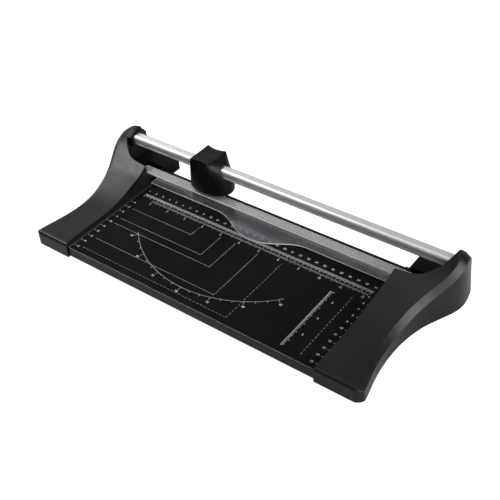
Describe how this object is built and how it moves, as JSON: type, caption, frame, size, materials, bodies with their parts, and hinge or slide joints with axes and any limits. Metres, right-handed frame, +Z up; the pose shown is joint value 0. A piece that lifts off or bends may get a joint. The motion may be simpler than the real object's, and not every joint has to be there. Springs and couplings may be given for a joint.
{
  "type": "paper cutter",
  "caption": "Desktop rotary paper trimmer: printed black deck between two swept end housings, clear clamp strip, and a cutter head with a round blade sliding on a metal rail.",
  "frame": {"origin": "on the table, at the middle of the trimmer's box", "axes": "+X along the cut, +Y from the front edge to the rear, +Z up"},
  "size_m": [0.453, 0.1914, 0.0633],
  "materials": {
    "black_plastic": "fine satin moulded black",
    "deck_black": "smooth printed black",
    "strip_black": "matt black cutting strip",
    "inner_plastic": "plain black moulding",
    "rail_aluminium": "drawn and satin anodised",
    "clear_acrylic": "clear polished",
    "steel": "zinc plated",
    "spring_steel": "drawn wire",
    "blade_steel": "ground",
    "foot_rubber": "matt rubber"
  },
  "bodies": {
    "frame": {"base_deck": "deck_black", "cutting_strip": "strip_black", "left_cheek": "black_plastic", "right_cheek": "black_plastic", "left_cheek_cover": "inner_plastic", "right_cheek_cover": "inner_plastic", "cover_screws": "steel", "deck_screws": "steel", "rubber_feet": "foot_rubber", "rail": "rail_aluminium", "rail_screws": "steel", "clamp_posts": "steel"},
    "clamp": {"paper_clamp": "clear_acrylic", "left_clamp_spring": "spring_steel", "right_clamp_spring": "spring_steel"},
    "slider": {"rail_runner": "inner_plastic", "left_press_spring": "spring_steel", "right_press_spring": "spring_steel"},
    "head": {"head_front_shell": "black_plastic", "head_rear_shell": "black_plastic", "head_screws": "steel", "blade_carrier": "inner_plastic", "blade_axle": "steel", "axle_clip": "steel"},
    "blade": {"round_blade": "blade_steel", "blade_hub": "inner_plastic"}
  },
  "joints": [
    {"name": "head_slide", "type": "slide", "parent": "frame", "child": "slider", "axis": [1, 0, 0], "range_m": [-0.0635, 0.239]},
    {"name": "head_press", "type": "slide", "parent": "slider", "child": "head", "axis": [0, 0, -1], "range_m": [0, 0.0016], "stiffness_N_per_m": 600, "springref_m": -0.003, "deforming": ["left_press_spring", "right_press_spring"]},
    {"name": "blade_spin", "type": "hinge", "parent": "head", "child": "blade", "pos_m": [-0.0905, 0.06505, 0.0258], "axis": [0, 1, 0], "continuous": true},
    {"name": "clamp_press", "type": "slide", "parent": "frame", "child": "clamp", "axis": [0, 0, -1], "range_m": [0, 0.001], "stiffness_N_per_m": 300, "springref_m": -0.002, "deforming": ["left_clamp_spring", "right_clamp_spring"]}
  ]
}
